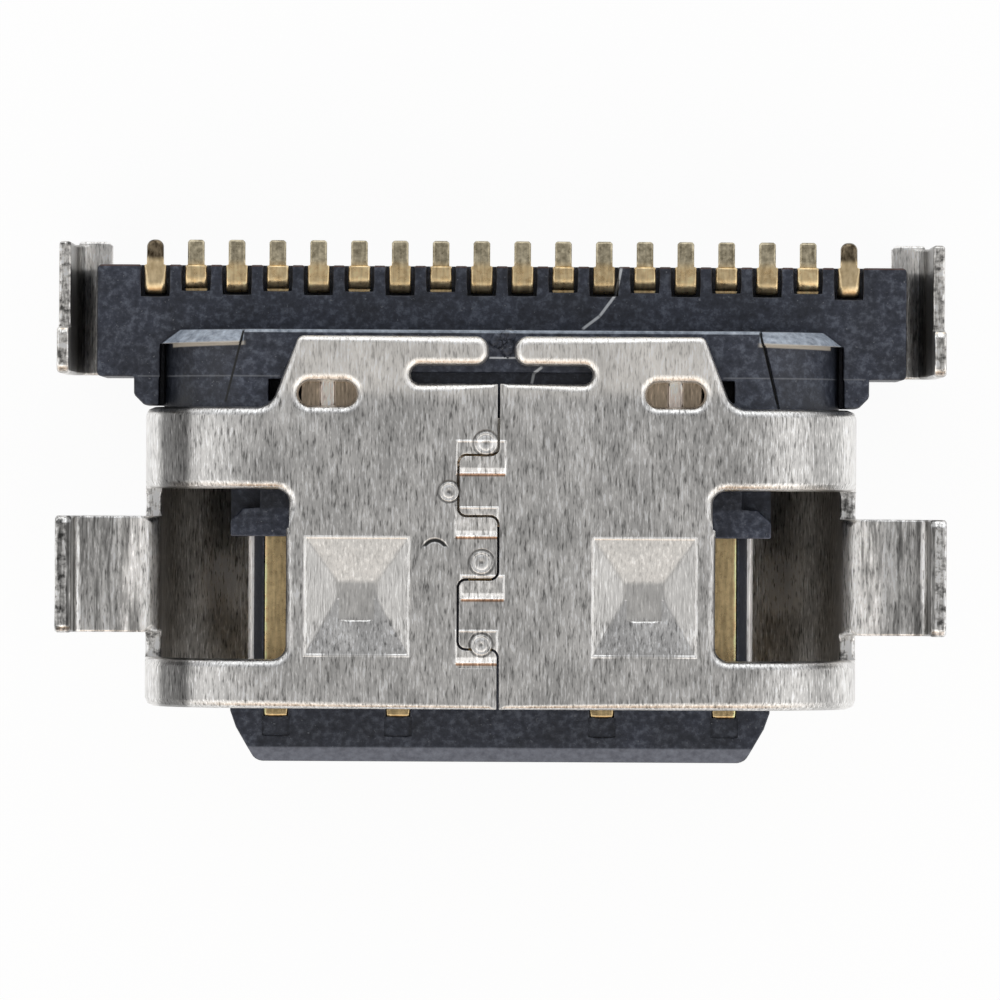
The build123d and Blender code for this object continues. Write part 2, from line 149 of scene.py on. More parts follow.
# Painted shade and painted highlights on the shell, in place of the reflections on its round sides and
# edges and the shade inside it: where, and by what factor
SHELL_PAINTED_LIGHT = (
    (dict(x=(-4.17, -3.80), z=(1.6, FAR), soft=0.06), 0.28),
    (dict(x=(3.80, 4.12), z=(1.6, FAR), soft=0.06), 0.85),
    (dict(x=(3.20, 4.17), z=(0.2, 1.5), mirrored=True, soft=0.1), 0.88),
    (dict(x=(3.25, 3.70), y=(-1.35, -0.70), z=(0.2, 1.5), mirrored=True, soft=0.15), 1.9),
    (dict(x=(4.19, 4.40), z=(1.6, FAR), mirrored=True, soft=0.05), 1.20),
)
TAB = dict(x=(4.40, FAR), mirrored=True)
# Painted highlight and a matt finish over the tabs' bend; a painted highlight line and a painted shade line
# at the leg
TAB_BEND_MATT_AND_HIGHLIGHT = dict(x=(4.36, 4.66), y=(-1.63, -0.20), mirrored=True, soft=0.06)
TAB_PAINTED_HIGHLIGHT = dict(x=(5.145, 5.19), mirrored=True, soft=0.01)
TAB_PAINTED_SHADE = dict(x=(5.215, 5.29), mirrored=True, soft=0.01)
TAB_END = dict(x=(5.29, FAR), mirrored=True)
TAB_ROOT = dict(x=(4.16, 4.38), z=(1.5, 1.75), mirrored=True, soft=0.01)
TAB_ROOT_ROWS = ((-1.97, -1.63), (-0.20, 0.135))

# Marks on the cover
WALL_PAINTED_SHADE = dict(x=(5.06, 5.32), z=(0.2, 2.12), mirrored=True)
WALL_PAINTED_HIGHLIGHT = dict(x=(5.15, 5.185), z=(0.2, FAR), mirrored=True, soft=0.01)
EAR = dict(x=(4.7, 5.24), y=(2.86, FAR), z=(0.08, 0.6), mirrored=True)
LEG_TOP = dict(x=(5.24, FAR), z=(2.0, FAR), mirrored=True)
# A lighter, warmer band across the top of each leg
LEG_LIGHT_WARM_BAND = dict(x=(5.26, FAR), y=(2.08, 2.15), z=(2.62, FAR), mirrored=True)
WELDS = ((-2.2, 0.4), (-0.7, 0.4), (0.7, 0.4), (2.2, 0.4), (-1.6, -0.6), (1.6, -0.6))
WELD_RADIUS = 0.16
WELD_WIDTH = 0.10
OUTER_FACE = dict(z=(-1, 0.06))

# Marks on the plates and contacts
# Painted shade under each oval, and painted highlights on its rib and on the plate's edge
UNDER_OVAL_PAINTED_SHADE = dict(x=(1.7, 2.55), y=(1.0, 1.6), z=(2.5, FAR), mirrored=True)
RIB_PAINTED_HIGHLIGHT = dict(x=(2.03, 2.21), y=(1.0, 1.6), z=(2.5, FAR), mirrored=True, soft=0.02)
PLATE_EDGE = dict(x=(2.95, 3.2), z=(1.4, 1.8), mirrored=True)
END_TAIL = dict(x=(3.9, FAR), y=(2.5, FAR), mirrored=True)
END_TAIL_TIP = dict(x=(3.9, FAR), y=(2.95, FAR), mirrored=True, soft=0.04)
TAIL_END = dict(y=(2.90, FAR), soft=0.06)
IN_SHELL = dict(y=(-FAR, 2.2))
OUTER_CONTACT_PAINTED_HIGHLIGHT = dict(x=(2.86, 2.93), y=(-FAR, 2.2), mirrored=True, soft=0.012)

# Marks on the moulding
REAR_RIM = dict(y=(2.862, FAR), z=(2.05, FAR), soft=0.012)
LEFT_SHADE = dict(x=(-4.2, -3.75), y=(1.0, 1.88), z=(2.0, FAR), soft=0.08)
# Painted highlights on the collar's slopes and top, and a painted highlight line at their foot
COLLAR_SLOPE = dict(x=(3.14, 4.3), y=(1.90, 2.077), z=(2.17, 3.05), mirrored=True, soft=0.006)
COLLAR_TOP = dict(x=(-1, 3.15), y=(2.045, 2.079), z=(2.6, FAR), mirrored=True, soft=0.006)
COLLAR_FOOT = ((3.14, 1.915), (4.15, 1.885), 0.035)
COLLAR_HEIGHTS = dict(z=(2.17, 3.05))
PARTING = dict(x=(2.7, 4.46), y=(1.503, 1.52), z=(1.9, FAR), mirrored=True, soft=0.006)
# A painted shade line along the groove
GROOVE = ((3.145, 2.07), (3.365, 1.19), 0.02)
GROOVE_HEIGHTS = dict(z=(2.2, FAR))
TONGUE_TIP = dict(y=(-FAR, -3.03), soft=0.015)
# Painted highlight on the raised step at the tongue's root
ROOT_STEP_PAINTED_HIGHLIGHT = dict(x=(2.5, 3.4), y=(-0.46, -0.10), z=(2.1, 2.4), mirrored=True)
LEDGE = dict(x=(-0.15, 0.19), y=(1.735, 1.755), z=(2.6, FAR), soft=0.008)
# Points of each dust thread
THREADS = (
    ((1.46, 2.86), (1.432, 2.713), (1.384, 2.524), (1.197, 2.273), (0.992, 2.116)),
    ((0.491, 1.634), (0.393, 1.56), (0.368, 1.437)),
)
THREAD_WIDTH = 0.023
GATE_CENTRE = (0.03, 1.94)
# Radius and height of each ring of the gate's stub
GATE_PROFILE = (
    (0.012, 2.94),
    (0.03, 2.91),
    (0.055, 2.96),
    (0.085, 2.92),
    (0.11, 2.95),
    (0.135, 2.91),
    (0.16, 2.87),
)
GATE_RIPPLE = 0.28

# Colours of the clean metal
SHELL_COLOUR = (0.735, 0.722, 0.703)
COVER_COLOUR = (0.72, 0.70, 0.67)
PLATE_COLOUR = (0.62, 0.58, 0.52)
PRESSED_COLOUR = (0.76, 0.745, 0.72, 1)
FLAP_COLOUR = (0.72, 0.71, 0.69, 1)

# Scales of the noises, across, along and up, so that a small number draws a pattern out
STREAKS = (46000, 1900, 46000)
FLECKS = (40000, 6500, 40000)
CLOUDS = (2600, 1500, 2600)
TORN = (9000, 11000, 9000)
TAB_COLUMNS = (11000, 900, 11000)
RUBS = (9000, 5000, 9000)
GILT_GRAIN = (16000, 9000, 16000)
GOLD_GRAIN = (14000, 14000, 14000)
GOLD_LINES = (22000, 3000, 3000)
MOTTLE = 12000
SPECKS = 26000
PATCHES = 1900

nodes = frame["nodes"]
slots = {part["node"]: part["material_slot"] for part in frame["record"]["subparts"]}


# Node tree helpers
class Tree:
    """Short hand for a material's or world's nodes"""

    def __init__(self, tree):
        self.tree = tree
        tree.nodes.clear()

    def add(self, kind, settings=None, **inputs):
        node = self.tree.nodes.new(kind)
        for name, value in (settings or {}).items():
            setattr(node, name, value)
        for name, value in inputs.items():
            self.feed(node, name.replace("_", " "), value)
        return node

    def feed(self, node, name, value):
        socket = node.inputs[name]
        if isinstance(value, bpy.types.NodeSocket):
            self.tree.links.new(value, socket)
        elif value is not None:
            socket.default_value = value

    def place(self):
        return self.add("ShaderNodeTexCoord").outputs["Object"]

    def scaled(self, vector, scale):
        mapping = self.add("ShaderNodeMapping", Vector=vector)
        mapping.inputs["Scale"].default_value = scale
        return mapping.outputs["Vector"]

    def noise(self, vector, scale, detail=2.0, roughness=0.5, distortion=0.0):
        node = self.add("ShaderNodeTexNoise", Vector=vector, Scale=scale, Detail=detail)
        node.inputs["Roughness"].default_value = roughness
        node.inputs["Distortion"].default_value = distortion
        return node.outputs["Fac"]

    def ramp(self, factor, *stops):
        node = self.add("ShaderNodeValToRGB", Fac=factor)
        elements = node.color_ramp.elements
        while len(elements) < len(stops):
            elements.new(0.5)
        for element, (place, colour) in zip(elements, stops):
            element.position = place
            element.color = colour if len(colour) == 4 else (*colour, 1)
        return node.outputs["Color"]

    def math(self, operation, a, b=None, clamp=False):
        node = self.add("ShaderNodeMath", {"operation": operation, "use_clamp": clamp})
        self.feed(node, 0, a)
        if b is not None:
            self.feed(node, 1, b)
        return node.outputs[0]

    def product(self, a, b):
        return self.math("MULTIPLY", a, b)

    def most(self, a, b):
        return self.math("MAXIMUM", a, b)

    def remap(self, value, low, high, to_low=0.0, to_high=1.0, ease="SMOOTHSTEP"):
        node = self.add("ShaderNodeMapRange", {"interpolation_type": ease}, Value=value)
        node.inputs["From Min"].default_value = low
        node.inputs["From Max"].default_value = high
        node.inputs["To Min"].default_value = to_low
        node.inputs["To Max"].default_value = to_high
        return node.outputs["Result"]

    def mix(self, factor, a, b, blend="MIX"):
        node = self.add("ShaderNodeMix", {"data_type": "RGBA", "blend_type": blend})
        self.feed(node, 0, factor)
        self.feed(node, 6, a)
        self.feed(node, 7, b)
        return node.outputs[2]

    def times(self, a, b):
        return self.mix(1.0, a, b, "MULTIPLY")

    def bump(self, height, depth, normal=None):
        node = self.add("ShaderNodeBump", Height=height, Distance=depth)
        self.feed(node, "Normal", normal)
        return node.outputs["Normal"]

    def parts(self, vector):
        return self.add("ShaderNodeSeparateXYZ", Vector=vector).outputs

    def normal_z(self):
        return self.parts(self.add("ShaderNodeNewGeometry").outputs["Normal"])["Z"]

    def up(self):
        """1 on faces that look up, 0 on upright ones"""
        return self.remap(self.normal_z(), 0.35, 0.70)

    def zone(self, place, x=None, y=None, z=None, mirrored=False, soft=0.02):
        """1 inside a box given in millimetres, 0 outside it"""
        values = list(self.parts(place))
        if mirrored:
            values[0] = self.math("ABSOLUTE", values[0])
        inside = None
        for value, span in zip(values, (x, y, z)):
            if span is None:
                continue
            low, high = span
            rise = self.remap(value, (low - soft) * MM, (low + soft) * MM)
            fall = self.remap(value, (high - soft) * MM, (high + soft) * MM, 1.0, 0.0)
            both = self.product(rise, fall)
            inside = both if inside is None else self.product(inside, both)
        return inside

    def border(self, place, x, y, mirrored=False, width=0.022):
        """1 on the border of a rectangle on the board-side face, all in millimetres"""
        half = width / 2
        rest = dict(z=ON_BOARD_FACE, mirrored=mirrored, soft=half / 2)
        outer = self.zone(place, (x[0] - half, x[1] + half), (y[0] - half, y[1] + half), **rest)
        inner = self.zone(place, (x[0] + half, x[1] - half), (y[0] + half, y[1] - half), **rest)
        return self.math("SUBTRACT", outer, inner, clamp=True)

    def line(self, place, start, end, half_width, mirrored=False):
        """1 on a straight line of the XY plane, 0 away from it, all in millimetres"""
        x, y, _ = self.parts(place)
        if mirrored:
            x = self.math("ABSOLUTE", x)
        run = Vector(end) - Vector(start)
        unit = run.normalized()
        dx = self.math("SUBTRACT", x, start[0] * MM)
        dy = self.math("SUBTRACT", y, start[1] * MM)
        along = self.math("ADD", self.product(dx, unit.x), self.product(dy, unit.y))
        off = self.math("SUBTRACT", self.product(dx, unit.y), self.product(dy, unit.x))
        near = self.remap(self.math("ABSOLUTE", off), 0.4 * half_width * MM, half_width * MM, 1.0, 0.0)
        begun = self.remap(along, -half_width * MM, half_width * MM)
        length = run.length
        ended = self.remap(along, (length - half_width) * MM, (length + half_width) * MM, 1.0, 0.0)
        return self.product(near, self.product(begun, ended))

    def dim(self, colour, where, factor):
        """The colour times a factor, a number or a colour, inside a zone"""
        factor = grey(factor) if isinstance(factor, float) else factor
        return self.mix(where, colour, self.times(colour, factor))

    def ring(self, place, centre, radius, half_width):
        """1 on a circle round a point of the XY plane, 0 away from it, all in millimetres"""
        x, y, _ = self.parts(place)
        dx = self.math("SUBTRACT", x, centre[0] * MM)
        dy = self.math("SUBTRACT", y, centre[1] * MM)
        far = self.math("SQRT", self.math("ADD", self.math("POWER", dx, 2.0), self.math("POWER", dy, 2.0)))
        off = self.math("ABSOLUTE", self.math("SUBTRACT", far, radius * MM))
        return self.remap(off, 0.3 * half_width * MM, half_width * MM, 1.0, 0.0)


def grey(value):
    return (value, value, value, 1)


def material(name):
    made = bpy.data.materials.new(name)
    made.use_nodes = True
    return made, Tree(made.node_tree)


def principled(tree, colour, metallic, roughness, normal=None):
    inputs = dict(Base_Color=colour, Metallic=metallic, Roughness=roughness)
    shader = tree.add("ShaderNodeBsdfPrincipled", **inputs)
    tree.feed(shader, "Normal", normal)
    out = tree.add("ShaderNodeOutputMaterial")
    tree.tree.links.new(shader.outputs[0], out.inputs["Surface"])


# Materials
def brushed(tree, place, colour, contrast=1.0):
    """Colour, roughness and normal of stainless sheet rolled along Y, its flecks weaker on upright faces"""
    streaks = tree.noise(tree.scaled(place, STREAKS), 1.0, 2.0, 0.6)
    flecks = tree.noise(tree.scaled(place, FLECKS), 1.0, 2.0, 0.6)
    clouds = tree.noise(tree.scaled(place, CLOUDS), 1.0, 3.0)
    dark, light = 1 - 0.42 * contrast, 1 + 0.50 * contrast
    tone = tree.ramp(flecks, (0.30, grey(dark)), (0.45, grey(0.93)), (0.57, grey(1.0)), (0.70, grey(light)))
    long_stops = ((0.28, grey(0.66)), (0.42, grey(0.98)), (0.62, grey(1.02)), (0.72, grey(1.32)))
    long_tone = tree.ramp(streaks, *long_stops)
    wide_tone = tree.ramp(clouds, (0.3, grey(0.88)), (0.7, grey(1.10)))
    plain = tree.times((*colour, 1), wide_tone)
    tint = tree.times(tree.times(plain, tone), long_tone)
    upright = tree.math("SUBTRACT", 1.0, tree.math("ABSOLUTE", tree.normal_z()), clamp=True)
    tint = tree.mix(tree.remap(upright, 0.5, 0.95, 0.0, 0.6), tint, plain)
    normal = tree.bump(streaks, 0.003 * MM)
    normal = tree.bump(flecks, 0.004 * MM, normal)
    return tint, tree.remap(clouds, 0.3, 0.7, 0.28, 0.38), normal


def torn(tree, place, tint, zone):
    """Mottle of the sheet's sheared edges"""
    rough = tree.noise(tree.scaled(place, TORN), 1.0, 3.0, 0.6)
    tone = tree.ramp(rough, (0.34, grey(0.25)), (0.45, grey(0.85)), (0.55, grey(1.3)), (0.66, grey(1.8)))
    where = tree.product(tree.zone(place, **zone), tree.up())
    return tree.mix(where, tint, tree.times(tint, tone))


def tab_marks(tree, place, tint):
    """Wavy columns on the solder tabs, a painted highlight over their bend, a painted highlight line and a
    painted shade line at the bend, and torn ends
    """
    columns = tree.noise(tree.scaled(place, TAB_COLUMNS), 1.0, 2.0, 0.6, 0.6)
    wavy = tree.ramp(columns, (0.34, grey(0.40)), (0.50, grey(0.95)), (0.66, grey(1.45)))
    tint = tree.mix(tree.zone(place, **TAB), tint, tree.times(tint, wavy))
    # Painted highlight over the bend, a painted highlight line and a painted shade line
    tint = tree.dim(tint, tree.zone(place, **TAB_BEND_MATT_AND_HIGHLIGHT), 1.18)
    tint = tree.dim(tint, tree.zone(place, **TAB_PAINTED_HIGHLIGHT), 1.6)
    tint = tree.dim(tint, tree.zone(place, **TAB_PAINTED_SHADE), 0.45)
    tint = torn(tree, place, tint, TAB_END)
    for rows in TAB_ROOT_ROWS:
        tint = torn(tree, place, tint, dict(TAB_ROOT, y=rows))
    return tint


def pressed_borders(tree, place):
    """1 on the borders of the dimples and the coined fields, which carry a matt rub and a painted highlight
    """
    rubbed_and_highlit = tree.border(place, *DIMPLE, mirrored=True, width=DIMPLE_BORDER_WIDTH)
    gap = tree.zone(place, **DIMPLE_BORDER_GAP)
    rubbed_and_highlit = tree.product(rubbed_and_highlit, tree.math("SUBTRACT", 0.7, tree.product(gap, 0.5)))
    for across, along in COINED:
        rubbed_and_highlit = tree.most(rubbed_and_highlit, tree.border(place, across, along))
    return rubbed_and_highlit


def coined_marks(tree, place, tint, matt):
    """Rubbed metal in each coined field, a painted highlight strip at its deep front edge and a painted
    brownish shade line before it
    """
    rubs = tree.remap(tree.noise(tree.scaled(place, RUBS), 1.0, 3.0, 0.6), 0.46, 0.60)
    for across, along in COINED:
        front = along[0]
        field = tree.product(tree.zone(place, across, along, ON_BOARD_FACE, soft=0.02), rubs)
        tint = tree.dim(tint, field, 1.25)
        matt = tree.most(matt, tree.product(field, 0.4))
        # Painted highlight at the deep front edge, painted shade before it
        highlight_bar = tree.zone(place, across, (front, front + COINED_HIGHLIGHT_WIDTH), ON_BOARD_FACE, soft=0.012)
        tint = tree.dim(tint, highlight_bar, 1.5)
        matt = tree.most(matt, highlight_bar)
        shade_line = tree.zone(place, across, (front - COINED_SHADE_WIDTH, front), ON_BOARD_FACE, soft=0.01)
        tint = tree.dim(tint, shade_line, (0.62, 0.40, 0.28, 1))
    return tint, matt


def peened_marks(tree, place, tint):
    """Painted shade in a groove round each peened dot and on its punch mark, and a painted highlight ring
    in it
    """
    top = tree.zone(place, z=(3.0, FAR))
    for x, y, radius in PEENED:
        groove = tree.ring(place, (x, y), DOT_GROOVE_AT * radius, DOT_GROOVE_WIDTH)
        punch = tree.ring(place, (x, y), 0.0, DOT_MARK_WIDTH)
        # Painted shade in the groove and on the punch mark, painted highlight on the ring
        tint = tree.dim(tint, tree.product(tree.most(groove, punch), top), 0.42)
        bright = tree.ring(place, (x, y), DOT_HIGHLIGHT_AT * radius, DOT_MARK_WIDTH)
        tint = tree.dim(tint, tree.product(bright, top), 1.35)
    return tint


def less_metal(tree, matt, share):
    """Metallic value where a pale, matt rub scatters part of the light"""
    return tree.math("SUBTRACT", 1.0, tree.product(matt, share))


def shell_steel():
    made, tree = material("shell_steel_look")
    place = tree.place()
    tint, rough, normal = brushed(tree, place, SHELL_COLOUR, 1.6)
    flap = tree.zone(place, **FLAP)
    tint = tree.mix(tree.product(flap, 0.35), tint, FLAP_COLOUR)
    tint = tree.dim(tint, flap, (1.30, 1.28, 1.25, 1))
    # Painted shade and painted highlights in place of reflections and shade
    for zone, factor in SHELL_PAINTED_LIGHT:
        tint = tree.dim(tint, tree.zone(place, **zone), factor)
    pressed = tree.zone(place, **DIMPLE_PRESSED)
    tint = tree.mix(tree.product(pressed, 0.55), tint, PRESSED_COLOUR)
    tint = tab_marks(tree, place, tint)
    matt = tree.most(tree.zone(place, **TAB_BEND_MATT_AND_HIGHLIGHT), tree.product(flap, 0.25))
    rubbed_and_highlit = pressed_borders(tree, place)
    # Painted highlight on the borders, which are also made matt
    tint = tree.dim(tint, rubbed_and_highlit, 1.6)
    matt = tree.most(matt, tree.product(rubbed_and_highlit, 0.7))
    tint, matt = coined_marks(tree, place, tint, matt)
    tint = peened_marks(tree, place, tint)
    circle = tree.ring(place, SCRATCH_CENTRE, SCRATCH_RADIUS, SCRATCH_WIDTH)
    scratch = tree.product(circle, tree.zone(place, **SCRATCH_PART))
    tint = tree.mix(scratch, tint, grey(0.06))
    normal = tree.bump(tree.math("SUBTRACT", 1.0, scratch), 0.01 * MM, normal)
    normal = tree.bump(rubbed_and_highlit, 0.006 * MM, normal)
    principled(tree, tint, less_metal(tree, matt, 0.65), rough, normal)
    return made


def cover_steel():
    """The rear cover: brushed like the shell, with painted shade inside its walls and a painted highlight
    line at their inner bend, and stains of the spot welds below
    """
    made, tree = material("cover_steel_look")
    place = tree.place()
    tint, rough, normal = brushed(tree, place, COVER_COLOUR, 1.4)
    # Painted shade inside the walls and a painted highlight line at their inner bend
    tint = tree.dim(tint, tree.zone(place, **WALL_PAINTED_SHADE), 0.5)
    ear = tree.zone(place, **EAR)
    tint = tree.dim(tint, ear, 1.3)
    tint = tree.dim(tint, tree.zone(place, **WALL_PAINTED_HIGHLIGHT), 2.6)
    tint = torn(tree, place, tint, LEG_TOP)
    tint = tree.dim(tint, tree.zone(place, **LEG_LIGHT_WARM_BAND), (2.0, 1.6, 1.2, 1))
    for centre in WELDS:
        circle = tree.ring(place, centre, WELD_RADIUS, WELD_WIDTH)
        stain = tree.product(circle, tree.zone(place, **OUTER_FACE))
        tint = tree.dim(tint, stain, (0.55, 0.45, 0.36, 1))
    principled(tree, tint, less_metal(tree, ear, 0.45), rough, normal)
    return made


def plate_steel():
    """Plates of the tongue: browner steel with painted shade under the ovals and painted highlights on
    their ribs and on the plate's edge, which is also matt; gilt on the two end tails, whose tips have gone
    dark
    """
    made, tree = material("plate_steel_look")
    place = tree.place()
    tint, rough, normal = brushed(tree, place, PLATE_COLOUR)
    # Painted shade under the ovals, painted highlights on their ribs and on the plate's edge
    tint = tree.dim(tint, tree.zone(place, **UNDER_OVAL_PAINTED_SHADE), (0.80, 0.68, 0.56, 1))
    tint = tree.dim(tint, tree.zone(place, **RIB_PAINTED_HIGHLIGHT), (2.2, 2.4, 2.9, 1))
    edge = tree.zone(place, **PLATE_EDGE)
    tint = tree.dim(tint, edge, (1.9, 2.0, 2.2, 1))
    grain = tree.noise(tree.scaled(place, GILT_GRAIN), 1.0, 3.0, 0.6)
    gilt = tree.ramp(grain, (0.3, (0.66, 0.50, 0.28)), (0.7, (1.0, 0.80, 0.50)))
    tint = tree.mix(tree.zone(place, **END_TAIL), tint, gilt)
    dull = tree.ramp(grain, (0.35, (0.05, 0.035, 0.02)), (0.65, (0.30, 0.24, 0.16)))
    tint = tree.mix(tree.zone(place, **END_TAIL_TIP), tint, dull)
    principled(tree, tint, less_metal(tree, edge, 0.6), rough, normal)
    return made


def contact_gold():
    """Gold plate: bright at the bends, duller on the tail ends and inside the shell, with a painted
    highlight along the outermost contacts' outer edge
    """
    made, tree = material("contact_gold_look")
    place = tree.place()
    grain = tree.noise(tree.scaled(place, GOLD_GRAIN), 1.0, 3.0, 0.65)
    lines = tree.noise(tree.scaled(place, GOLD_LINES), 1.0, 1.0)
    bright = tree.ramp(grain, (0.3, (0.84, 0.60, 0.31)), (0.7, (1.0, 0.80, 0.48)))
    dull = tree.ramp(grain, (0.3, (0.34, 0.29, 0.19)), (0.7, (0.78, 0.69, 0.50)))
    inside = tree.ramp(grain, (0.3, (0.62, 0.46, 0.24)), (0.7, (0.86, 0.66, 0.36)))
    tint = tree.mix(tree.zone(place, **TAIL_END), bright, dull)
    tint = tree.mix(tree.zone(place, **IN_SHELL), tint, inside)
    tint = tree.times(tint, tree.ramp(lines, (0.35, grey(0.80)), (0.6, grey(1.10))))
    # Painted highlight on the outermost contacts' outer edge
    tint = tree.dim(tint, tree.zone(place, **OUTER_CONTACT_PAINTED_HIGHLIGHT), (1.7, 1.6, 1.6, 1))
    normal = tree.bump(grain, 0.004 * MM)
    normal = tree.bump(lines, 0.001 * MM, normal)
    principled(tree, tint, 1.0, tree.remap(grain, 0.3, 0.7, 0.26, 0.38), normal)
    return made


def collar_marks(tree, place, colour, mottle):
    """The collar's painted highlights on its slopes and top, the painted highlight line at their foot, the
    parting line and a painted shade line along the groove
    """
    collar_highlight = tree.ramp(mottle, (0.3, (0.17, 0.20, 0.25)), (0.7, (0.50, 0.56, 0.64)))
    # Painted highlight on the slopes and top, and on the line at their foot
    colour = tree.mix(tree.zone(place, **COLLAR_SLOPE), colour, collar_highlight)
    foot = tree.line(place, *COLLAR_FOOT, mirrored=True)
    foot = tree.product(foot, tree.zone(place, **COLLAR_HEIGHTS))
    colour = tree.mix(foot, colour, (0.50, 0.46, 0.40, 1))
    colour = tree.mix(tree.zone(place, **COLLAR_TOP), colour, collar_highlight)
    colour = tree.mix(tree.product(tree.zone(place, **PARTING), 0.4), colour, (0.22, 0.23, 0.25, 1))
    # Painted shade along the groove
    groove = tree.product(tree.line(place, *GROOVE, mirrored=True), tree.zone(place, **GROOVE_HEIGHTS))
    return tree.mix(groove, colour, grey(0.002))


def dust(tree, place):
    """1 on the threads of dust and on the pale edge of the ledge in the slot"""
    found = tree.zone(place, **LEDGE)
    for points in THREADS:
        for start, end in zip(points, points[1:]):
            found = tree.most(found, tree.line(place, start, end, THREAD_WIDTH))
    return found


def moulding():
    """Black glass-filled plastic with a mottled blue-grey tone, painted highlights on the collar and the
    root step, painted shade on the left and in the groove, and a dust thread
    """
    made, tree = material("black_moulding_look")
    place = tree.place()
    mottle = tree.noise(place, MOTTLE, 4.0, 0.65)
    specks = tree.noise(place, SPECKS, 2.0, 0.6)
    patches = tree.noise(place, PATCHES, 3.0)
    shades = ((0.30, (0.010, 0.013, 0.022)), (0.5, (0.026, 0.031, 0.047)), (0.68, (0.075, 0.086, 0.113)))
    colour = tree.ramp(mottle, *shades)
    colour = tree.times(colour, tree.ramp(patches, (0.32, grey(0.75)), (0.65, grey(1.3))))
    colour = tree.mix(tree.remap(specks, 0.66, 0.78), colour, (0.14, 0.15, 0.17, 1))
    up = tree.up()
    upright = tree.remap(tree.normal_z(), 0.35, 0.70, 0.6, 0.0)
    colour = tree.mix(upright, colour, (0.024, 0.028, 0.039, 1))
    colour = tree.mix(tree.product(tree.zone(place, **REAR_RIM), up), colour, (0.10, 0.045, 0.03, 1))
    colour = tree.dim(colour, tree.zone(place, **LEFT_SHADE), 0.6)
    colour = collar_marks(tree, place, colour, mottle)
    bluish = tree.ramp(mottle, (0.3, (0.070, 0.083, 0.115)), (0.7, (0.15, 0.17, 0.215)))
    colour = tree.mix(tree.product(tree.zone(place, **TONGUE_TIP), up), colour, bluish)
    # Painted highlight on the root step
    colour = tree.dim(colour, tree.zone(place, **ROOT_STEP_PAINTED_HIGHLIGHT), 1.8)
    colour = tree.mix(tree.product(dust(tree, place), up), colour, (0.56, 0.58, 0.60, 1))
    normal = tree.bump(mottle, 0.006 * MM)
    normal = tree.bump(specks, 0.002 * MM, normal)
    principled(tree, colour, 0.0, tree.remap(mottle, 0.3, 0.7, 0.38, 0.52), normal)
    return made


# Pieces
def middle_of(edge):
    return (edge.verts[0].co + edge.verts[1].co) / 2


def smooth_groups(work, hard):
    """Number the faces so that faces joined without a hard edge share a number"""
    group = {}
    for start in work.faces:
        if start in group:
            continue
        number = len(group)
        group[start] = number
        queue = [start]
        while queue:
            for edge in queue.pop().edges:
                if edge in hard:
                    continue
                for face in edge.link_faces:
                    if face not in group:
                        group[face] = number
                        queue.append(face)
    return group


def inset_corner(loop, loops, hard, width):
    """Where a corner of a face goes when the hard edges beside it are rolled"""
    inward = []
    for corner in loops:
        for side in (corner, corner.link_loop_prev):
            if side.edge in hard:
                along = (side.link_loop_next.vert.co - side.vert.co).normalized()
                inward.append(corner.face.normal.cross(along))
    if not inward:
        return loop.vert.co.copy()
    total = Vector()
    for direction in inward:
        total += direction
    if len(inward) == 2:
        return loop.vert.co + total * (width / max(1 + inward[0].dot(inward[1]), LEAST_OPENING))
    return loop.vert.co + total.normalized() * width


def fan_normals(work, group):
    """The direction of each smooth surface at each of its corners"""
    normals = {}
    for face in work.faces:
        share = face.calc_area() / MM**2
        for vert in face.verts:
            key = (vert, group[face])
            normals[key] = normals.get(key, Vector()) + face.normal * share
    return {key: normal.normalized() for key, normal in normals.items()}


def sunk_corner(vert, hard, width, sides, outward):
    """Where a hard corner itself goes: onto the round between its faces"""
    edges = [e for e in vert.link_edges if e in hard]
    turn = max(e.calc_face_angle(0) for e in edges)
    depth = width * math.tan(turn / 4) * (POINT_DEPTH if sides > 2 else 1.0)
    convex = sum(1 if e.is_convex else -1 for e in edges) > 0
    return vert.co - outward * (depth if convex else -depth)


def has_acute_end(edge):
    """Whether a face beside the edge comes to a point at one of its ends"""
    corners = [corner for loop in edge.link_loops for corner in (loop, loop.link_loop_next)]
    return any(corner.calc_angle() < ACUTE for corner in corners)


def split_long_edges(work, angle_at):
    """Give long hard edges a point near each end, so that a tight corner narrows only what is near it"""
    hard = [e for e in work.edges if e.calc_face_angle(0) > angle_at(middle_of(e))]
    for edge in [e for e in hard if e.calc_length() > 3 * END_LENGTH and not has_acute_end(e)]:
        end = edge.verts[1]
        added, _ = bmesh.utils.edge_split(edge, edge.verts[0], END_LENGTH / edge.calc_length())
        rest = edge if end in edge.verts else added
        bmesh.utils.edge_split(rest, end, END_LENGTH / rest.calc_length())


def roll_widths(work, hard, width_at):
    widths = {}
    for vert in work.verts:
        edges = [e for e in vert.link_edges if e in hard]
        inner = any(not e.is_convex and e.calc_face_angle(0) > INNER_CORNER for e in edges)
        widths[vert] = 0.0 if len(edges) < 2 or inner else width_at(vert.co)
    return widths


def crossing_edges(corners, normal):
    """Which edges of a face's outline cross another one"""
    flat = max(range(3), key=lambda axis: abs(normal[axis]))
    outline = np.delete(np.array(corners), flat, 1)
    ends = np.roll(outline, -1, 0)
    along = (ends - outline)[:, None]

    def side(points):
        off = points[None] - outline[:, None]
        value = along[..., 0] * off[..., 1] - along[..., 1] * off[..., 0]
        return np.where(abs(value) < SLIVER, 0.0, np.sign(value))

    parted = side(outline) * side(ends) < 0
    return np.nonzero((parted & parted.T).any(1))[0]


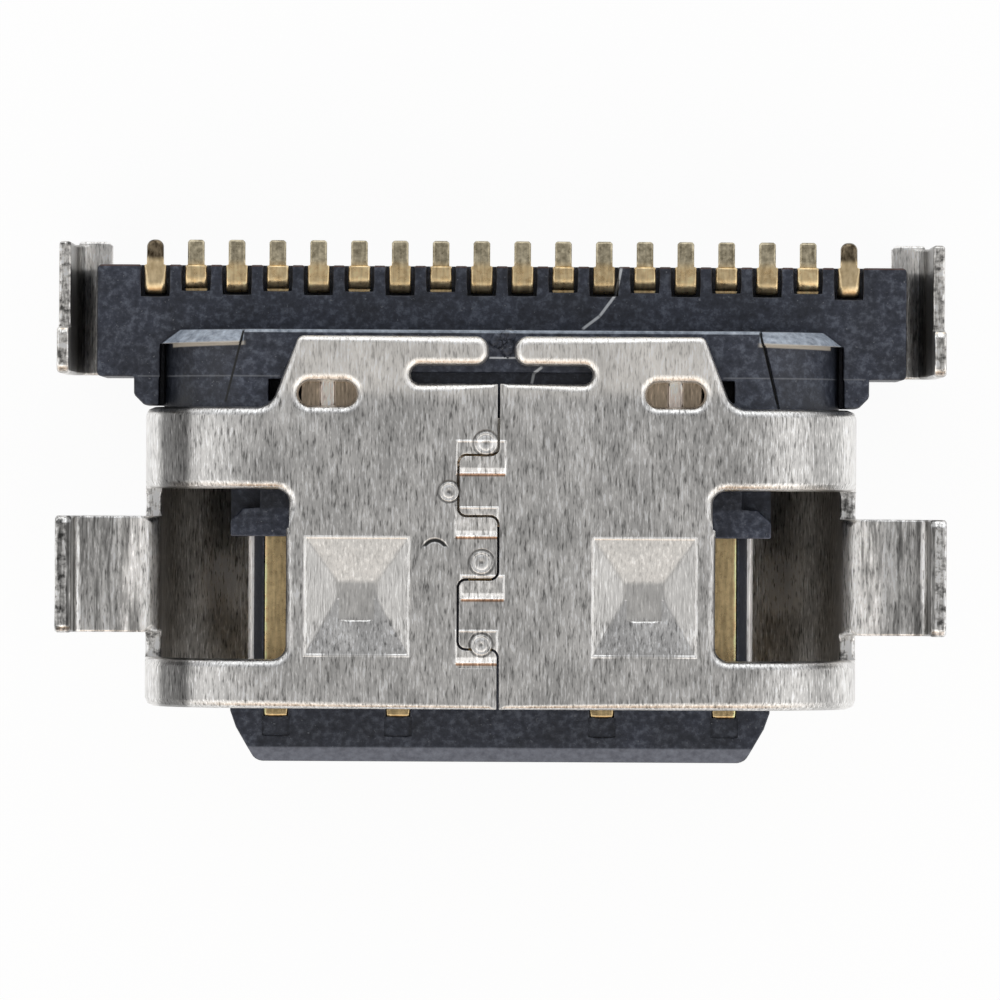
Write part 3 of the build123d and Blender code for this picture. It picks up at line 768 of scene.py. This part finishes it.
def ease_widths(work, hard, widths):
    """Let the roll along an edge grow only slowly from a place where it is narrow"""
    steps = [(edge.verts, WIDTH_SLOPE * edge.calc_length()) for edge in work.edges if edge in hard]
    changed = True
    while changed:
        changed = False
        for (a, b), step in steps:
            for vert, other in ((a, b), (b, a)):
                if widths[vert] > widths[other] + step * 1.001:
                    widths[vert] = widths[other] + step
                    changed = True


def narrow_tight_corners(work, group, hard, widths):
    """Narrow the roll wherever it would turn a face or an edge round, and say where the corners go"""
    fans = {}
    for face in work.faces:
        for loop in face.loops:
            fans.setdefault((loop.vert, group[face]), []).append(loop)
    for _ in range(NARROWING_ROUNDS):
        ease_widths(work, hard, widths)
        place = {key: inset_corner(loops[0], loops, hard, widths[key[0]]) for key, loops in fans.items()}
        tight = set()
        for face in work.faces:
            number = group[face]
            for index in crossing_edges([place[loop.vert, number] for loop in face.loops], face.normal):
                tight |= set(face.edges[index].verts)
            for loop in face.loops:
                a, b = loop.vert, loop.link_loop_next.vert
                before, after = b.co - a.co, place[b, number] - place[a, number]
                if after.dot(before) < SHORTEST_SHARE * before.length_squared:
                    tight |= {a, b}
        for vert in tight:
            widths[vert] *= NARROWING
        if not tight:
            break
    return place


def rolled(work, width_at, angle_at):
    """A copy of the mesh with its hard edges rounded, and the shading direction of every face corner"""
    split_long_edges(work, angle_at)
    work.normal_update()
    hard = {e for e in work.edges if e.calc_face_angle(0) > angle_at(middle_of(e))}
    group = smooth_groups(work, hard)
    normals = fan_normals(work, group)
    sides, outward = {}, {}
    for (vert, _), normal in normals.items():
        sides[vert] = sides.get(vert, 0) + 1
        outward[vert] = (outward.get(vert, Vector()) + normal).normalized()
    widths = roll_widths(work, hard, width_at)
    place = narrow_tight_corners(work, group, hard, widths)
    made = bmesh.new()
    centre = {}
    for v in work.verts:
        middle = sunk_corner(v, hard, widths[v], sides[v], outward[v]) if widths[v] else v.co
        centre[v] = made.verts.new(middle)
    corner = {key: made.verts.new(co) if widths[key[0]] else centre[key[0]] for key, co in place.items()}
    shading = []
    for face in work.faces:
        number = group[face]
        made.faces.new([corner[loop.vert, number] for loop in face.loops])
        shading += [normals[loop.vert, number] for loop in face.loops]
        for loop in face.loops:
            if loop.edge in hard:
                a, b = loop.vert, loop.link_loop_next.vert
                rim = {corner[v, number]: normals[v, number] for v in (b, a)}
                rim.update({centre[v]: outward[v] for v in (a, b)})
                if len(rim) > 2:
                    made.faces.new(list(rim))
                    shading += list(rim.values())
    bmesh.ops.delete(made, geom=[v for v in made.verts if not v.link_faces], context="VERTS")
    return made, shading


def add_piece(name, mesh, slot):
    obj = bpy.data.objects.new(name, mesh)
    bpy.context.scene.collection.objects.link(obj)
    mesh.materials.append(looks[slot])
    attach(obj, ROOT)
    return obj


def rolled_copy(node, width_at, angle_at):
    """The node's own form with its stamped or moulded edges rounded"""
    work = bmesh.new()
    work.from_mesh(nodes[node].data)
    bmesh.ops.remove_doubles(work, verts=work.verts, dist=JOIN_DISTANCE)
    bmesh.ops.dissolve_limit(work, angle_limit=FLAT_ANGLE, verts=work.verts, edges=work.edges)
    made, shading = rolled(work, width_at, angle_at)
    for face in made.faces:
        face.smooth = True
    mesh = bpy.data.meshes.new(node + "_finish")
    made.to_mesh(mesh)
    work.free()
    made.free()
    mesh.normals_split_custom_set(shading)
    obj = add_piece(node + "_finish", mesh, slots[node])
    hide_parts(node)
    return obj


def in_seam_field(point):
    (left, right), (front, rear) = SEAM_FIELD
    inside = left < point.x < right and front < point.y < rear
    return point.z > BOARD_FACE and (inside or abs(point.x - SEAM_AT) < SEAM_STRIP)


def in_dimple(point):
    front, rear = DIMPLE_ROWS
    return abs(abs(point.x) - DIMPLE_MIDDLE) < DIMPLE_REACH and front < point.y < rear


def shell_width(point):
    if in_seam_field(point):
        return SEAM_ROLL
    if in_dimple(point):
        return DIMPLE_ROLL
    if abs(point.x) > TAB_START:
        return TAB_ROLL
    across, up = max(abs(point.x) - SIDE_CENTRE[0], 0.0), point.z - SIDE_CENTRE[1]
    return SHELL_ROLL if math.hypot(across, up) > MID_SHEET else SHELL_INNER_ROLL


def shell_angle(point):
    return PRESSED_ANGLE if in_seam_field(point) or in_dimple(point) else SHELL_ANGLE


def plate_width(point):
    return PLATE_EDGE_ROLL if abs(point.x) > PLATE_EDGE_START else PLATE_ROLL


def same(value):
    return lambda point: value


def turned(name, centre, profile, slot, ripple=0.0):
    """A small round form: rings of (radius, height) about an upright axis, all in millimetres"""
    made = bmesh.new()
    rings = []
    for row, (radius, height) in enumerate(profile):
        ring = []
        for step in range(ROUND_STEPS):
            angle = math.tau * step / ROUND_STEPS
            wave = 1 + ripple * math.sin(3 * angle + row) + 0.6 * ripple * math.sin(7 * angle + 2 * row)
            lift = height + 0.25 * ripple * radius * math.sin(5 * angle + 1.7 * row)
            across, along = radius * wave * math.cos(angle), radius * wave * math.sin(angle)
            ring.append(made.verts.new(Vector((centre[0] + across, centre[1] + along, lift)) * MM))
        rings.append(ring)
    for inner, outer in zip(rings, rings[1:]):
        for step in range(ROUND_STEPS):
            after = (step + 1) % ROUND_STEPS
            made.faces.new((inner[step], outer[step], outer[after], inner[after]))
    made.faces.new(rings[0])
    made.faces.new(rings[-1][::-1])
    for face in made.faces:
        face.smooth = True
    mesh = bpy.data.meshes.new(name)
    made.to_mesh(mesh)
    made.free()
    return add_piece(name, mesh, slot)


def peened_dots():
    """The flattened head inside each round mark beside the seam, with a groove round it and a punch mark"""
    for number, (x, y, radius) in enumerate(PEENED, 1):
        punch = [(across, DOT_TOP - depth) for across, depth in DOT_PUNCH]
        rings = [(radius * share, DOT_TOP - depth) for share, depth in DOT_RINGS]
        foot = [(radius * DOT_FOOT, DOT_FLOOR)]
        turned(f"peened_dot_{number}", (x, y), punch + rings + foot, "shell_steel")


def gate_mark():
    """The rough stub where the plastic was broken from its sprue"""
    turned("gate_mark", GATE_CENTRE, GATE_PROFILE, "black_moulding", GATE_RIPPLE)


# Stage
def floor():
    made, tree = material("floor_white")
    path = tree.add("ShaderNodeLightPath").outputs
    seen = tree.most(path["Is Camera Ray"], path["Is Glossy Ray"])
    seen = tree.most(seen, path["Is Transmission Ray"])
    diffuse = tree.add("ShaderNodeBsdfDiffuse", Color=grey(0.97))
    glow = tree.add("ShaderNodeEmission", Color=grey(1.0), Strength=1.0)
    both = tree.add("ShaderNodeMixShader", Fac=tree.product(seen, FLOOR_GLOW))
    tree.tree.links.new(diffuse.outputs[0], both.inputs[1])
    tree.tree.links.new(glow.outputs[0], both.inputs[2])
    out = tree.add("ShaderNodeOutputMaterial")
    tree.tree.links.new(both.outputs[0], out.inputs["Surface"])
    mesh = bpy.data.meshes.new("floor")
    half = FLOOR_HALF
    corners = [(-half, -half, 0), (half, -half, 0), (half, half, 0), (-half, half, 0)]
    mesh.from_pydata(corners, [], [(0, 1, 2, 3)])
    obj = bpy.data.objects.new("floor", mesh)
    bpy.context.scene.collection.objects.link(obj)
    obj.data.materials.append(made)


def surroundings():
    """A studio: dark overhead, a bright ring round it, bright to the rear, dark and warm in front"""
    world = bpy.data.worlds.new("studio")
    bpy.context.scene.world = world
    world.use_nodes = True
    tree = Tree(world.node_tree)
    x, y, z = tree.parts(tree.add("ShaderNodeTexCoord").outputs["Generated"])
    above = tree.ramp(
        z,
        (0.0, grey(0.60)),
        (0.15, grey(0.75)),
        (0.40, grey(0.95)),
        (0.65, grey(0.85)),
        (0.84, grey(0.50)),
        (0.95, grey(0.36)),
        (1.0, grey(0.33)),
    )
    along = tree.ramp(
        tree.remap(y, -1.0, 1.0, ease="LINEAR"),
        (0.0, (0.45, 0.26, 0.14)),
        (0.02, (0.95, 0.62, 0.38)),
        (0.06, (1.35, 1.18, 1.00)),
        (0.14, (1.50, 1.42, 1.34)),
        (0.26, (1.75, 1.72, 1.68)),
        (0.5, grey(1.0)),
        (0.75, (0.86, 0.87, 0.90)),
        (0.88, (1.15, 1.17, 1.20)),
        (0.97, (1.9, 1.95, 2.0)),
    )
    above_left = tree.ramp(
        tree.remap(x, -1.0, 1.0, ease="LINEAR"),
        (0.0, grey(0.9)),
        (0.15, grey(1.10)),
        (0.5, grey(1.0)),
        (0.85, grey(1.15)),
        (0.95, grey(1.0)),
        (1.0, grey(0.75)),
    )
    low_left = tree.product(tree.remap(x, -0.80, -0.93), tree.remap(z, 0.34, 0.12))
    across = tree.mix(low_left, above_left, grey(0.15))
    light = tree.times(tree.times(above, along), across)
    background = tree.add("ShaderNodeBackground", Color=light, Strength=1.0)
    out = tree.add("ShaderNodeOutputWorld")
    tree.tree.links.new(background.outputs[0], out.inputs["Surface"])


def camera():
    data = bpy.data.cameras.new("camera")
    seen = IMAGE / PIXELS_PER_MM * MM
    data.sensor_width = SENSOR
    data.lens = SENSOR * CAMERA_DISTANCE / seen
    data.clip_start = CLIP[0]
    data.clip_end = CLIP[1]
    obj = bpy.data.objects.new("camera", data)
    obj.location = (*VIEW_CENTRE, FOCUS_HEIGHT + CAMERA_DISTANCE)
    obj.rotation_euler = (0, 0, VIEW_TURN)
    bpy.context.scene.collection.objects.link(obj)
    bpy.context.scene.camera = obj


looks = {
    "shell_steel": shell_steel(),
    "cover_steel": cover_steel(),
    "plate_steel": plate_steel(),
    "contact_gold": contact_gold(),
    "black_moulding": moulding(),
}
for node, slot in slots.items():
    nodes[node].data.materials.clear()
    nodes[node].data.materials.append(looks[slot])

rolled_copy("receptacle_shell", shell_width, shell_angle)
plain_angle = same(PLAIN_ANGLE)
rolled_copy("rear_cover", same(COVER_ROLL), plain_angle)
rolled_copy("rear_housing", same(PLASTIC_ROLL), plain_angle)
rolled_copy("mid_plate", plate_width, plain_angle)
for node, slot in slots.items():
    if slot == "contact_gold":
        rolled_copy(node, same(CONTACT_ROLL), plain_angle)
    elif node.endswith("ground_plate"):
        rolled_copy(node, same(PLATE_ROLL), plain_angle)

peened_dots()
gate_mark()

floor()
surroundings()
camera()
bpy.context.scene.view_settings.view_transform = "Standard"
